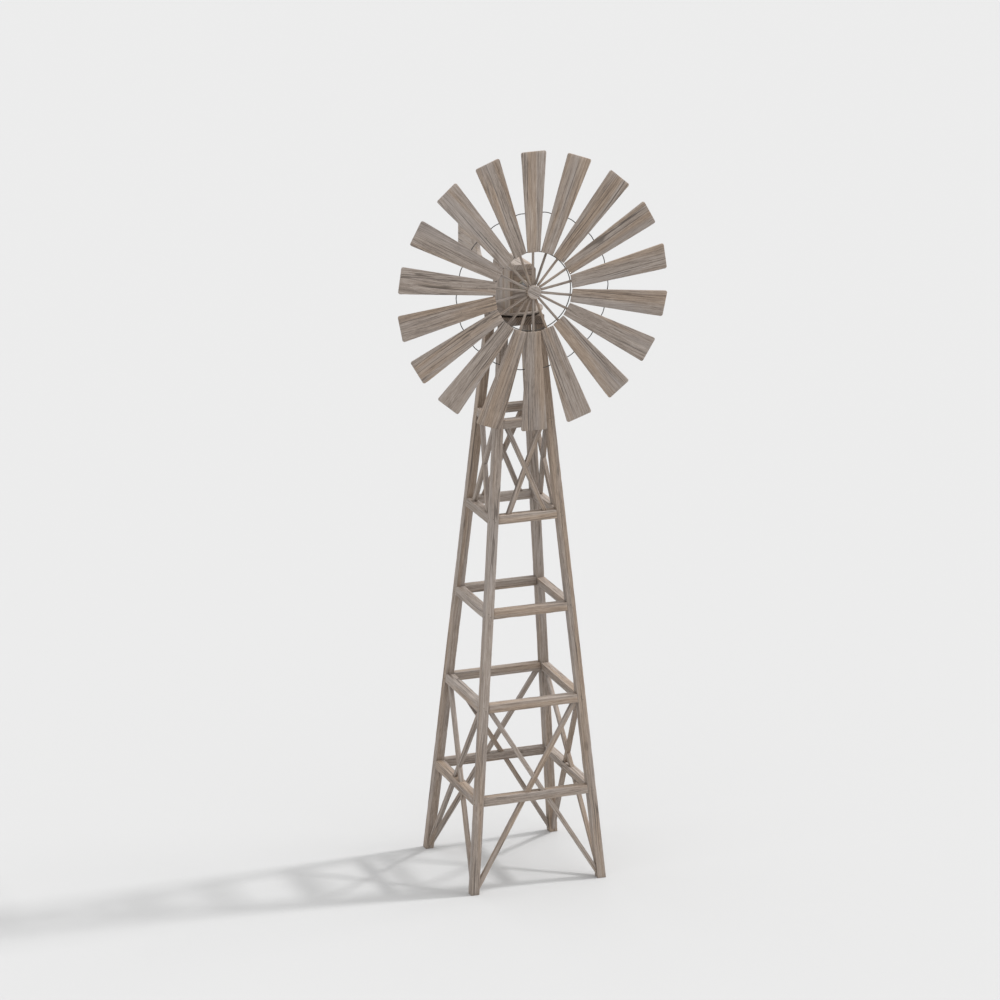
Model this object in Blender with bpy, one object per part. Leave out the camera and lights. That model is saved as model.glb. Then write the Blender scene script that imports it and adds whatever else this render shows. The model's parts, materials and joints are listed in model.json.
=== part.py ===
"""Garden windmill: a tapered four-leg timber tower, a turning head with a tail, and a bladed rotor.

Metres, +Z up. The rotor faces -Y and the tail points to +Y. The origin is under the middle of the
whole object, on the ground.
"""

import math

import bmesh
import bpy
from mathutils import Matrix, Vector

# Fit between touching pieces, and between turning ones
GAP = 0.0003
RUNNING_GAP = 0.0004
# Small softened edge on turned pieces, and how far a cutter runs past the face that it cuts
EDGE = 0.001
REACH = 0.01

# Tower: square legs whose centres stand on a square that narrows evenly with height
LEG = 0.0288
BASE_HALF = 0.2216
LEG_LEAN = 0.0871
RAIL_HEIGHT = 0.0282
RAIL_COUNT = 5
RAIL_FIRST = 0.3065
RAIL_SPACING = 0.3086
RAIL_LEVELS = tuple(RAIL_FIRST + RAIL_SPACING * i for i in range(RAIL_COUNT))
CAP_BOTTOM = 1.8556
CAP_THICKNESS = 0.0283
CAP_HALF = 0.0751
CAP_EDGE = 0.0015
CAP_TOP = CAP_BOTTOM + CAP_THICKNESS

# Braces: bars crossed in pairs, in the middle of the legs' depth. Each runs between two points of a
# side, given as (across, height)
BRACE_WIDTH = 0.015
BRACE_THICKNESS = 0.014
LOWER_FOOT = (-0.205, 0.027)
LOWER_HEAD = (0.1445, RAIL_LEVELS[1] - RAIL_HEIGHT / 2)
UPPER_FOOT = (-0.0615, RAIL_LEVELS[3] + RAIL_HEIGHT / 2)
UPPER_HEAD = (0.0585, RAIL_LEVELS[4] - RAIL_HEIGHT / 2)
FOOT_CLEARANCE = 0.004

# Head
KING_PIN_RADIUS = 0.008
KING_COLLAR_RADIUS = 0.022
KING_HEAD_RADIUS = 0.016
KING_HEAD_RIM = 0.004
KING_HEAD_DOME = 0.006
KING_HEAD_CROWN = 0.002
KING_NUT_RADIUS = 0.020
KING_NUT_THICKNESS = 0.008
TURNTABLE_GAP = 0.0086
TURNTABLE_RADIUS = 0.0915
TURNTABLE_THICKNESS = 0.0075
HOUSING_HALF_WIDTH = 0.044
HOUSING_HALF_DEPTH = 0.0768
HOUSING_TOP = 2.0556
HOUSING_CHAMFER_ACROSS = 0.014
HOUSING_CHAMFER_DOWN = 0.016
HOUSING_WALL = 0.012
HOUSING_ROOF = 0.018
TURNTABLE_BOTTOM = CAP_TOP + TURNTABLE_GAP
TURNTABLE_TOP = TURNTABLE_BOTTOM + TURNTABLE_THICKNESS
HOUSING_BOTTOM = TURNTABLE_TOP + GAP

# Rotor, on a level shaft. Distances along the shaft are measured from the tower's axis
ROTOR_Z = 1.989
BLADE_COUNT = 18
ROTOR_REST_TURN = math.radians(-0.2)
BLADE_PITCH = math.radians(3.7)
BLADE_TIP = 0.4531
BLADE_ROOT = 0.1291
BLADE_TIP_WIDTH = 0.0867
BLADE_ROOT_WIDTH = 0.0434
BLADE_THICKNESS = 0.005
BLADE_CORNER = 0.007
SPOKE_PLANE = -0.1685
SPOKE_RADIUS = 0.00425
SPOKE_TENON_RADIUS = 0.002
SPOKE_TENON_START = 0.0145
SPOKE_TAPER = (0.0230, 0.0262)
SPOKE_OVERHANG = 0.005
HUB_RADIUS = 0.022
HUB_FRONT = -0.1840
HUB_BACK = -0.1585
HUB_EDGE = 0.0018
HUB_BORE_DEPTH = 0.014
RING_PLANE = -0.1631
INNER_RING_RADIUS = 0.1288
INNER_RING_WIRE = 0.0016
OUTER_RING_RADIUS = 0.2541
OUTER_RING_WIRE = 0.0015
RING_STEPS = 72
SHAFT_RADIUS = 0.006
SHAFT_SHOULDER = 0.010
SHOULDER_LENGTH = 0.011
SHOULDER_TAPER = 0.002
COLLAR_LENGTH = 0.007
COLLAR_TAPER = 0.001
TUBE_RADIUS = 0.011
TUBE_FLANGE = 0.016
TUBE_FLANGE_THICKNESS = 0.004
TUBE_RECESS = 0.004
WASHER_POCKET = 0.026
END_WASHER_RADIUS = 0.0088
END_WASHER_THICKNESS = 0.004

# Tail
BOOM = 0.018
BOOM_Z = 1.975
BOOM_TENON = 0.011
TENON_LENGTH = 0.006
VANE_THICKNESS = 0.014
VANE_TOP = 2.122
VANE_FRONT = 0.335
VANE_COVE = 0.045
VANE_TOE = 0.0015
TAIL_END = 0.508
VANE_CORNER = 0.012

# The object's own middle, front to back, lies behind the tower's axis
TOWER_FRONT = BASE_HALF + LEG / 2
AXIS_Y = (TOWER_FRONT - TAIL_END) / 2

SIDES = ("front", "right", "back", "left")
ROUND_STEPS = 32
THIN_ROUND_STEPS = 12
WIDE_ROUND_STEPS = 64
# A multiple of the number of spoke holes, so that every hole meets the hub's rim alike
HUB_STEPS = 4 * BLADE_COUNT
WIRE_SIDES = 8
CORNER_STEPS = 4
COVE_STEPS = 10


def clear_scene():
    for obj in list(bpy.data.objects):
        bpy.data.objects.remove(obj, do_unlink=True)


def make_material(name, color, roughness, metallic=0.0):
    material = bpy.data.materials.new(name)
    material.use_nodes = True
    shader = material.node_tree.nodes["Principled BSDF"]
    shader.inputs["Base Color"].default_value = (*color, 1.0)
    shader.inputs["Roughness"].default_value = roughness
    shader.inputs["Metallic"].default_value = metallic
    return material


def make_frame(name, location, parent=None):
    """An empty that carries the pieces of one moving body."""
    frame = bpy.data.objects.new(name, None)
    frame.location = location
    frame.parent = parent
    bpy.context.scene.collection.objects.link(frame)
    return frame


def make_object(name, mesh, parent, material, rotation=(0.0, 0.0, 0.0)):
    obj = bpy.data.objects.new(name, mesh)
    obj.parent = parent
    obj.rotation_euler = rotation
    bpy.context.scene.collection.objects.link(obj)
    if material and not mesh.materials:
        mesh.materials.append(material)
    return obj


def mesh_from(name, bm):
    bmesh.ops.recalc_face_normals(bm, faces=bm.faces)
    mesh = bpy.data.meshes.new(name)
    bm.to_mesh(mesh)
    bm.free()
    return mesh


def prism(name, outline, place, low, high):
    """Sweep a flat outline from depth low to depth high; place turns (a, b, depth) into a point."""
    bm = bmesh.new()
    near = [bm.verts.new(place(a, b, low)) for a, b in outline]
    far = [bm.verts.new(place(a, b, high)) for a, b in outline]
    bm.faces.new(near)
    bm.faces.new(list(reversed(far)))
    for i in range(len(outline)):
        j = (i + 1) % len(outline)
        bm.faces.new((near[i], far[i], far[j], near[j]))
    return mesh_from(name, bm)


def turned(name, profile, along_y=False, steps=ROUND_STEPS):
    """Spin a closed (radius, height) profile about Z, or about Y when along_y is set."""
    bm = bmesh.new()
    axis = Vector((0, 1, 0)) if along_y else Vector((0, 0, 1))
    side = Vector((1, 0, 0))
    points = [bm.verts.new(side * radius + axis * height) for radius, height in profile]
    edges = []
    for i, point in enumerate(points):
        following = points[(i + 1) % len(points)]
        on_axis = profile[i][0] == 0 and profile[(i + 1) % len(points)][0] == 0
        if not on_axis:
            edges.append(bm.edges.new((point, following)))
    bmesh.ops.spin(
        bm, geom=points + edges, cent=(0, 0, 0), axis=axis, angle=math.tau, steps=steps, use_merge=True
    )
    bmesh.ops.remove_doubles(bm, verts=bm.verts, dist=1e-6)
    mesh = mesh_from(name, bm)
    mesh.shade_smooth()
    mesh.set_sharp_from_angle(angle=math.radians(35))
    return mesh


def cut(obj, cutters, operation="DIFFERENCE"):
    """Cut hidden helper shapes from an object, or join them to it."""
    for cutter in cutters:
        cutter.hide_render = True
        cutter.display_type = "WIRE"
        modifier = obj.modifiers.new(cutter.name, "BOOLEAN")
        modifier.operation = operation
        modifier.solver = "EXACT"
        modifier.object = cutter


# Tower geometry. A place on a tower side is (across, height, depth), where depth 0 is the middle of
# the legs and a positive depth is further out.


def leg_centre(height):
    return BASE_HALF - LEG_LEAN * height


def side_point(across, height, depth):
    return Vector((across, -(leg_centre(height) + depth), height))


def bay_edge(height):
    """Half the clear width between two legs, less the fitting gap."""
    return leg_centre(height) - LEG / 2 - GAP


def bay(low, high):
    """The clear opening of one side between two heights, counter-clockwise."""
    return [(-bay_edge(low), low), (bay_edge(low), low), (bay_edge(high), high), (-bay_edge(high), high)]


def leg_mesh():
    def corner(across, depth, height):
        centre = leg_centre(height)
        return Vector((across + centre, depth - centre, height))

    half = LEG / 2
    square = [(-half, -half), (half, -half), (half, half), (-half, half)]
    return prism("leg", square, corner, 0.0, CAP_BOTTOM - GAP)


def rail_mesh(index):
    centre = RAIL_LEVELS[index]
    return prism(
        f"rail_{index + 1}",
        bay(centre - RAIL_HEIGHT / 2, centre + RAIL_HEIGHT / 2),
        side_point,
        -LEG / 2,
        LEG / 2,
    )


def bar_outline(foot, head, width, overrun=0.0):
    """The four corners of a straight bar, counter-clockwise, from its centre line."""
    start = Vector(foot)
    end = Vector(head)
    along = (end - start).normalized()
    across = Vector((along.y, -along.x)) * width / 2
    start = start - along * overrun
    end = end + along * overrun
    return [start + across, end + across, end - across, start - across]


def clip(outline, edge_start, edge_end):
    """Keep the part of a convex outline to the left of a directed line."""
    along = Vector(edge_end) - Vector(edge_start)

    def side(point):
        return along.x * (point[1] - edge_start[1]) - along.y * (point[0] - edge_start[0])

    kept = []
    for i, point in enumerate(outline):
        following = outline[(i + 1) % len(outline)]
        here, there = side(point), side(following)
        if here >= 0:
            kept.append(point)
        if here * there < 0:
            kept.append(point.lerp(following, here / (here - there)))
    return kept


def crossing(first, second):
    """Where two lines, each given by two points, meet."""
    p, q = first[0], second[0]
    r, s = first[1] - first[0], second[1] - second[0]
    share = ((q - p).x * s.y - (q - p).y * s.x) / (r.x * s.y - r.y * s.x)
    return p + r * share


def mirrored(points):
    return [Vector((-point.x, point.y)) for point in reversed(points)]


def run_of(points, wanted):
    """The neighbouring points that pass a test, in order."""
    start = next(i for i, p in enumerate(points) if wanted(p) and not wanted(points[i - 1]))
    return [point for point in points[start:] + points[:start] if wanted(point)]


def cross_outline(foot, head, low, high):
    """Two equal bars crossed and half-lapped, trimmed to the bay that they stand in."""
    overrun = 4 * BRACE_WIDTH
    bar = bar_outline(foot, head, BRACE_WIDTH, overrun)
    under = (bar[0], bar[1])
    over = (bar[3], bar[2])
    other = [Vector((-point.x, point.y)) for point in bar]
    other_under = (other[0], other[1])
    other_over = (other[3], other[2])
    right = crossing(under, other_over)
    top = crossing(over, other_over)
    left = crossing(over, other_under)
    bottom = crossing(under, other_under)
    corners = bay(low, high)
    trimmed = bar
    for i in range(len(corners)):
        trimmed = clip(trimmed, corners[i], corners[(i + 1) % len(corners)])
    upper_end = run_of(trimmed, lambda point: point.y > top.y)
    lower_end = run_of(trimmed, lambda point: point.y < bottom.y)
    return [
        right, *upper_end, top, *mirrored(upper_end), left, *lower_end, bottom, *mirrored(lower_end)
    ]


def cross_mesh(name, foot, head, low, high):
    outline = cross_outline(foot, head, low, high)
    return prism(name, outline, side_point, -BRACE_THICKNESS / 2, BRACE_THICKNESS / 2)


def slot_meshes():
    """Cutters for the slanted slots that let the lower braces pass through the lowest rails."""
    half = BRACE_THICKNESS / 2 + GAP
    bar = bar_outline(LOWER_FOOT, LOWER_HEAD, BRACE_WIDTH + 2 * GAP)
    return [
        prism("slot_rising", bar, side_point, -half, half),
        prism("slot_falling", mirrored(bar), side_point, -half, half),
    ]


def build_legs(parent, wood):
    leg = leg_mesh()
    for turn, name in enumerate(("front_right", "back_right", "back_left", "front_left")):
        make_object(f"leg_{name}", leg, parent, wood, (0, 0, turn * math.pi / 2))


def build_rails(parent, wood):
    """Five levels of rails; the lowest are slotted where the braces pass through them."""
    slots = slot_meshes()
    for index in range(RAIL_COUNT):
        mesh = rail_mesh(index)
        for turn, side in enumerate(SIDES):
            rotation = (0, 0, turn * math.pi / 2)
            rail = make_object(f"{mesh.name}_{side}", mesh, parent, wood, rotation)
            if index == 0:
                cutters = [make_object(f"{slot.name}_{side}", slot, parent, None, rotation) for slot in slots]
                cut(rail, cutters)


def build_crosses(parent, wood):
    """A crossed pair of braces low down and another high up on each side."""
    rail_half = RAIL_HEIGHT / 2 + GAP
    lower_bay = (FOOT_CLEARANCE, RAIL_LEVELS[1] - rail_half)
    upper_bay = (RAIL_LEVELS[3] + rail_half, RAIL_LEVELS[4] - rail_half)
    for mesh in (
        cross_mesh("cross_lower", LOWER_FOOT, LOWER_HEAD, *lower_bay),
        cross_mesh("cross_upper", UPPER_FOOT, UPPER_HEAD, *upper_bay),
    ):
        for turn, side in enumerate(SIDES):
            make_object(f"{mesh.name}_{side}", mesh, parent, wood, (0, 0, turn * math.pi / 2))


def build_cap(parent, wood):
    """A square board on the leg tops, bored for the king pin."""
    half = CAP_HALF - CAP_EDGE
    full = CAP_HALF
    outline = [
        (-half, -full), (half, -full), (full, -half), (full, half),
        (half, full), (-half, full), (-full, half), (-full, -half),
    ]
    mesh = prism("tower_cap", outline, lambda x, y, z: Vector((x, y, z)), CAP_BOTTOM, CAP_TOP)
    cap = make_object("tower_cap", mesh, parent, wood)
    bore = turned("cap_bore", cylinder_profile(KING_PIN_RADIUS + GAP, CAP_BOTTOM - REACH, CAP_TOP + REACH))
    cut(cap, [make_object("cap_bore", bore, parent, None)])


def cylinder_profile(radius, low, high):
    return [(0, low), (radius, low), (radius, high), (0, high)]


def build_king_pin(parent, steel):
    """The fixed yaw pivot: nut below the cap, thrust collar above it, retaining head in the housing."""
    nut_top = CAP_BOTTOM - GAP
    collar_low = CAP_TOP + GAP
    collar_high = TURNTABLE_BOTTOM - GAP
    head_low = TURNTABLE_TOP + 2 * GAP
    dome_low = head_low + KING_HEAD_RIM
    dome_high = dome_low + KING_HEAD_DOME
    profile = [
        (0, nut_top - KING_NUT_THICKNESS),
        (KING_NUT_RADIUS - EDGE, nut_top - KING_NUT_THICKNESS),
        (KING_NUT_RADIUS, nut_top - KING_NUT_THICKNESS + EDGE),
        (KING_NUT_RADIUS, nut_top),
        (KING_PIN_RADIUS, nut_top),
        (KING_PIN_RADIUS, collar_low),
        (KING_COLLAR_RADIUS, collar_low),
        (KING_COLLAR_RADIUS, collar_high),
        (KING_PIN_RADIUS, collar_high),
        (KING_PIN_RADIUS, head_low),
        (KING_HEAD_RADIUS, head_low),
        (KING_HEAD_RADIUS, dome_low),
        (KING_PIN_RADIUS, dome_high),
        (0, dome_high + KING_HEAD_CROWN),
    ]
    make_object("king_pin", turned("king_pin", profile), parent, steel)


# Head geometry, in a frame at the middle of the turntable plate's underside


def head_z(height):
    return height - TURNTABLE_BOTTOM


def build_turntable(parent, wood):
    bore = KING_PIN_RADIUS + RUNNING_GAP
    profile = [
        (bore, 0),
        (TURNTABLE_RADIUS - EDGE, 0),
        (TURNTABLE_RADIUS, EDGE),
        (TURNTABLE_RADIUS, TURNTABLE_THICKNESS - EDGE),
        (TURNTABLE_RADIUS - EDGE, TURNTABLE_THICKNESS),
        (bore, TURNTABLE_THICKNESS),
    ]
    mesh = turned("turntable_plate", profile, steps=WIDE_ROUND_STEPS)
    make_object("turntable_plate", mesh, parent, wood)


def box_mesh(name, low, high):
    outline = [(low[0], low[1]), (high[0], low[1]), (high[0], high[1]), (low[0], high[1])]
    return prism(name, outline, lambda x, y, z: Vector((x, y, z)), low[2], high[2])


def build_housing(parent, wood):
    """A hollow timber case, open below, with chamfered top edges."""
    low, high = head_z(HOUSING_BOTTOM), head_z(HOUSING_TOP)
    axis = head_z(ROTOR_Z)
    wide = HOUSING_HALF_WIDTH
    narrow = HOUSING_HALF_WIDTH - HOUSING_CHAMFER_ACROSS
    shoulder = high - HOUSING_CHAMFER_DOWN
    outline = [
        (-wide, low), (wide, low), (wide, shoulder), (narrow, high), (-narrow, high), (-wide, shoulder),
    ]
    mesh = prism(
        "head_housing", outline, lambda x, z, y: Vector((x, y, z)), -HOUSING_HALF_DEPTH, HOUSING_HALF_DEPTH
    )
    housing = make_object("head_housing", mesh, parent, wood)
    inner_x = HOUSING_HALF_WIDTH - HOUSING_WALL
    inner_y = HOUSING_HALF_DEPTH - HOUSING_WALL
    hollow = box_mesh(
        "housing_hollow", (-inner_x, -inner_y, low - REACH), (inner_x, inner_y, high - HOUSING_ROOF)
    )
    back_recess = inner_y + TUBE_RECESS
    tube_hole = turned(
        "housing_tube_hole",
        cylinder_profile(TUBE_RADIUS + GAP, -HOUSING_HALF_DEPTH - REACH, back_recess),
        along_y=True,
    )
    half = BOOM_TENON / 2 + GAP
    boom = head_z(BOOM_Z)
    mortise = box_mesh(
        "housing_mortise",
        (-half, HOUSING_HALF_DEPTH - TENON_LENGTH - GAP, boom - half),
        (half, HOUSING_HALF_DEPTH + REACH, boom + half),
    )
    tube_hole.transform(Matrix.Translation((0, 0, axis)))
    cut(housing, [make_object(mesh.name, mesh, parent, None) for mesh in (hollow, tube_hole, mortise)])


def build_bearing_tube(parent, bronze):
    """The sleeve that the rotor shaft turns in, flanged against the front of the housing."""
    face = -HOUSING_HALF_DEPTH - GAP
    rear = HOUSING_HALF_DEPTH - HOUSING_WALL + TUBE_RECESS - GAP
    bore = SHAFT_RADIUS + RUNNING_GAP
    counterbore = END_WASHER_RADIUS + RUNNING_GAP
    counterbore_low = rear - WASHER_POCKET
    profile = [
        (bore, face - TUBE_FLANGE_THICKNESS),
        (TUBE_FLANGE - EDGE, face - TUBE_FLANGE_THICKNESS),
        (TUBE_FLANGE, face - TUBE_FLANGE_THICKNESS + EDGE),
        (TUBE_FLANGE, face),
        (TUBE_RADIUS, face),
        (TUBE_RADIUS, rear),
        (counterbore, rear),
        (counterbore, counterbore_low),
        (bore, counterbore_low),
    ]
    tube = make_object("bearing_tube", turned("bearing_tube", profile, along_y=True), parent, bronze)
    tube.location = (0, 0, head_z(ROTOR_Z))


def build_boom(parent, wood):
    """A square bar with a tenon into the housing's back wall."""
    axis = head_z(BOOM_Z)
    half = BOOM / 2
    tenon = BOOM_TENON / 2
    start = HOUSING_HALF_DEPTH + GAP
    tip = HOUSING_HALF_DEPTH - TENON_LENGTH
    profile = [
        (tip, -tenon), (start, -tenon), (start, -half), (TAIL_END, -half),
        (TAIL_END, half), (start, half), (start, tenon), (tip, tenon),
    ]
    boom = prism("tail_boom", profile, lambda y, z, x: Vector((x, y, axis + z)), -half, half)
    bar = make_object("tail_boom", boom, parent, wood)
    cheeks = []
    for name, low_x, high_x in (("left", -BOOM, -tenon), ("right", tenon, BOOM)):
        mesh = box_mesh(
            f"tenon_cheek_{name}", (low_x, tip - REACH, axis - BOOM), (high_x, start, axis + BOOM)
        )
        cheeks.append(make_object(mesh.name, mesh, parent, None))
    cut(bar, cheeks)


def build_vane(parent, wood):
    """A board standing on the boom's rear end, with a hollow curve down to the boom at its front."""
    bottom = head_z(BOOM_Z) + BOOM / 2 + GAP
    top = head_z(VANE_TOP)
    start = VANE_FRONT - VANE_COVE
    outline = [(TAIL_END, bottom), (TAIL_END, top - VANE_CORNER)]
    for i in range(1, CORNER_STEPS + 1):
        angle = i / CORNER_STEPS * math.pi / 2
        outline.append(
            (
                TAIL_END - VANE_CORNER * (1 - math.cos(angle)),
                top - VANE_CORNER * (1 - math.sin(angle)),
            )
        )
    outline.append((VANE_FRONT, top))
    for i in range(COVE_STEPS + 1):
        angle = i / COVE_STEPS * math.pi / 2
        outline.append(
            (start + VANE_COVE * math.cos(angle), bottom + VANE_TOE + VANE_COVE * (1 - math.sin(angle)))
        )
    outline.append((start, bottom))
    vane = prism(
        "tail_vane", outline, lambda y, z, x: Vector((x, y, z)), -VANE_THICKNESS / 2, VANE_THICKNESS / 2
    )
    make_object("tail_vane", vane, parent, wood)


# Rotor geometry, in a frame on the shaft's axis above the tower's axis


def build_shaft(parent, steel):
    flange_front = -HOUSING_HALF_DEPTH - GAP - TUBE_FLANGE_THICKNESS
    tube_rear = HOUSING_HALF_DEPTH - HOUSING_WALL + TUBE_RECESS - GAP
    washer_low = tube_rear - WASHER_POCKET + RUNNING_GAP
    front = HUB_BACK - HUB_BORE_DEPTH
    shoulder = HUB_BACK + GAP
    collar_end = flange_front - RUNNING_GAP
    collar_start = collar_end - COLLAR_LENGTH
    profile = [
        (0, front),
        (SHAFT_RADIUS - EDGE, front),
        (SHAFT_RADIUS, front + EDGE),
        (SHAFT_RADIUS, shoulder),
        (SHAFT_SHOULDER, shoulder),
        (SHAFT_SHOULDER, shoulder + SHOULDER_LENGTH),
        (SHAFT_RADIUS, shoulder + SHOULDER_LENGTH + SHOULDER_TAPER),
        (SHAFT_RADIUS, collar_start - COLLAR_TAPER),
        (SHAFT_SHOULDER, collar_start),
        (SHAFT_SHOULDER, collar_end),
        (SHAFT_RADIUS, collar_end),
        (SHAFT_RADIUS, washer_low),
        (END_WASHER_RADIUS, washer_low),
        (END_WASHER_RADIUS, washer_low + END_WASHER_THICKNESS),
        (0, washer_low + END_WASHER_THICKNESS),
    ]
    make_object("rotor_shaft", turned("rotor_shaft", profile, along_y=True), parent, steel)


def ring_mesh(name, radius, wire):
    """A round wire bent into a circle behind the spokes."""
    bm = bmesh.new()
    bmesh.ops.create_circle(bm, segments=WIRE_SIDES, radius=wire)
    bmesh.ops.rotate(bm, verts=bm.verts, matrix=Matrix.Rotation(math.pi / 2, 3, "Y"))
    bmesh.ops.translate(bm, verts=bm.verts, vec=(0, RING_PLANE, radius))
    bmesh.ops.spin(
        bm,
        geom=bm.verts[:] + bm.edges[:],
        cent=(0, 0, 0),
        axis=(0, 1, 0),
        angle=math.tau,
        steps=RING_STEPS,
        use_merge=True,
    )
    bmesh.ops.remove_doubles(bm, verts=bm.verts, dist=1e-6)
    mesh = mesh_from(name, bm)
    mesh.shade_smooth()
    return mesh


def spoke_mesh():
    """A round rod whose inner end tapers to a thin tenon."""
    end = OUTER_RING_RADIUS + SPOKE_OVERHANG
    profile = [
        (0, SPOKE_TENON_START),
        (SPOKE_TENON_RADIUS, SPOKE_TENON_START),
        (SPOKE_TENON_RADIUS, SPOKE_TAPER[0]),
        (SPOKE_RADIUS, SPOKE_TAPER[1]),
        (SPOKE_RADIUS, end),
        (0, end),
    ]
    mesh = turned("spoke", profile, steps=THIN_ROUND_STEPS)
    mesh.transform(Matrix.Translation((0, SPOKE_PLANE, 0)))
    return mesh


def build_hub(parent, wood):
    """A turned hub with a blind bore for the shaft and a ring of holes for the spokes' tenons."""
    blind = HUB_BACK - HUB_BORE_DEPTH - GAP
    bore = SHAFT_RADIUS + GAP
    profile = [
        (0, HUB_FRONT),
        (HUB_RADIUS - HUB_EDGE, HUB_FRONT),
        (HUB_RADIUS, HUB_FRONT + HUB_EDGE),
        (HUB_RADIUS, HUB_BACK),
        (bore, HUB_BACK),
        (bore, blind),
        (0, blind),
    ]
    hub = make_object("rotor_hub", turned("rotor_hub", profile, along_y=True, steps=HUB_STEPS), parent, wood)
    hole_profile = cylinder_profile(SPOKE_TENON_RADIUS + GAP, SPOKE_TENON_START - GAP, HUB_RADIUS + REACH)
    hole = turned("spoke_hole", hole_profile, steps=THIN_ROUND_STEPS)
    hole.transform(Matrix.Translation((0, SPOKE_PLANE, 0)))
    holes = []
    for i in range(BLADE_COUNT):
        turn = (0, math.tau * i / BLADE_COUNT, 0)
        holes.append(make_object(f"spoke_hole_{i + 1}", hole, parent, None, turn))
    cut(hub, holes)


def build_spoke_frame(parent, wood):
    """Eighteen spokes held in place by two wire rings on their backs, one joined piece."""
    inner = ring_mesh("spoke_frame", INNER_RING_RADIUS, INNER_RING_WIRE)
    frame = make_object("spoke_frame", inner, parent, wood)
    spoke = spoke_mesh()
    joined = []
    for i in range(BLADE_COUNT):
        turn = (0, math.tau * i / BLADE_COUNT, 0)
        joined.append(make_object(f"spoke_{i + 1}", spoke, parent, None, turn))
    outer = ring_mesh("outer_ring", OUTER_RING_RADIUS, OUTER_RING_WIRE)
    joined.append(make_object("outer_ring", outer, parent, None))
    cut(frame, joined, "UNION")


def blade_mesh():
    """A flat tapered board with rounded tip corners, pitched about its own length."""
    root, tip = BLADE_ROOT, BLADE_TIP
    half_root, half_tip = BLADE_ROOT_WIDTH / 2, BLADE_TIP_WIDTH / 2
    slope = (half_tip - half_root) / (tip - root)
    right = []
    for i in range(CORNER_STEPS + 1):
        angle = i / CORNER_STEPS * math.pi / 2
        height = tip - BLADE_CORNER * (1 - math.sin(angle))
        edge = half_root + slope * (height - root)
        right.append((edge - BLADE_CORNER * (1 - math.cos(angle)), height))
    left = [(-x, z) for x, z in reversed(right)]
    outline = [(-half_root, root), (half_root, root), *right, *left]
    middle = SPOKE_PLANE - (SPOKE_RADIUS + BLADE_THICKNESS / 2 + GAP) / math.cos(BLADE_PITCH)

    def place(x, z, depth):
        return Vector(
            (
                x * math.cos(BLADE_PITCH) - depth * math.sin(BLADE_PITCH),
                middle + x * math.sin(BLADE_PITCH) + depth * math.cos(BLADE_PITCH),
                z,
            )
        )

    return prism("blade", outline, place, -BLADE_THICKNESS / 2, BLADE_THICKNESS / 2)


def build_rotor(parent, wood, steel):
    build_shaft(parent, steel)
    build_hub(parent, wood)
    build_spoke_frame(parent, wood)
    blade = blade_mesh()
    for i in range(BLADE_COUNT):
        turn = (0, math.tau * i / BLADE_COUNT, 0)
        make_object(f"blade_{i + 1:02d}", blade, parent, wood, turn)


def main():
    clear_scene()
    wood = make_material("weathered_wood", (0.30, 0.255, 0.215), 0.8)
    steel = make_material("galvanised_steel", (0.45, 0.45, 0.44), 0.45, 1.0)
    bronze = make_material("bronze", (0.42, 0.30, 0.17), 0.4, 1.0)
    tower = make_frame("tower_frame", (0, AXIS_Y, 0))
    head = make_frame("head_frame", (0, 0, TURNTABLE_BOTTOM), tower)
    rotor = make_frame("rotor_frame", (0, 0, head_z(ROTOR_Z)), head)
    rotor.rotation_euler = (0, ROTOR_REST_TURN, 0)
    build_legs(tower, wood)
    build_rails(tower, wood)
    build_crosses(tower, wood)
    build_cap(tower, wood)
    build_king_pin(tower, steel)
    build_turntable(head, wood)
    build_housing(head, wood)
    build_bearing_tube(head, bronze)
    build_boom(head, wood)
    build_vane(head, wood)
    build_rotor(rotor, wood, steel)


main()
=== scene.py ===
"""Garden windmill: weathered timber, wire rings and small metal fittings around the frame."""

import json
import math
import random

import bmesh
import bpy
from mathutils import Matrix, Vector, noise

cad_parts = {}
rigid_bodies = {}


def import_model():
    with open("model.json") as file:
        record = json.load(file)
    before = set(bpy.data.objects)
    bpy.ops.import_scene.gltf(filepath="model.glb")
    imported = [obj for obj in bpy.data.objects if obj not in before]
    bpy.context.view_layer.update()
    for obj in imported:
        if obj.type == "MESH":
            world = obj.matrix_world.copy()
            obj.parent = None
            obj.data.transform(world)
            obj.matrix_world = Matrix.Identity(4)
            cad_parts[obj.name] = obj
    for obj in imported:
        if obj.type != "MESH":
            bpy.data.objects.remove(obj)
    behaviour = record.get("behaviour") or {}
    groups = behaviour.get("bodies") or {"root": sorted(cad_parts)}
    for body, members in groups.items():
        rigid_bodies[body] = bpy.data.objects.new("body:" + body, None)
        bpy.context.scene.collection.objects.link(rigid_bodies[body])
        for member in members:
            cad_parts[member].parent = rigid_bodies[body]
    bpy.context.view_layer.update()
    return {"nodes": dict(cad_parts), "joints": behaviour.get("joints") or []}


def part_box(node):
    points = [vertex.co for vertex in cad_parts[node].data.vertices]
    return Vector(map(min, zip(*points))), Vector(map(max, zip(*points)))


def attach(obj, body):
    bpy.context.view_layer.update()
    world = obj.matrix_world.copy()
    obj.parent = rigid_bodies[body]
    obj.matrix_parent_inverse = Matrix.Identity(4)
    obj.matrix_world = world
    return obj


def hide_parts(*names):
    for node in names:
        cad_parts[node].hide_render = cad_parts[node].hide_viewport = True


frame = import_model()

# Every random draw comes from this one source, in the order of the pieces
rng = random.Random(586)

UP = Vector((0, 0, 1))
ACROSS = Vector((1, 0, 0))
BACK = Vector((0, 1, 0))
SIDES = {"front": -BACK, "right": ACROSS, "back": BACK, "left": -ACROSS}
CORNERS = {
    "front_left": (-1, -1),
    "front_right": (1, -1),
    "back_right": (1, 1),
    "back_left": (-1, 1),
}
RAIL_LEVELS = range(1, 6)
BLADES = 18

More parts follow.
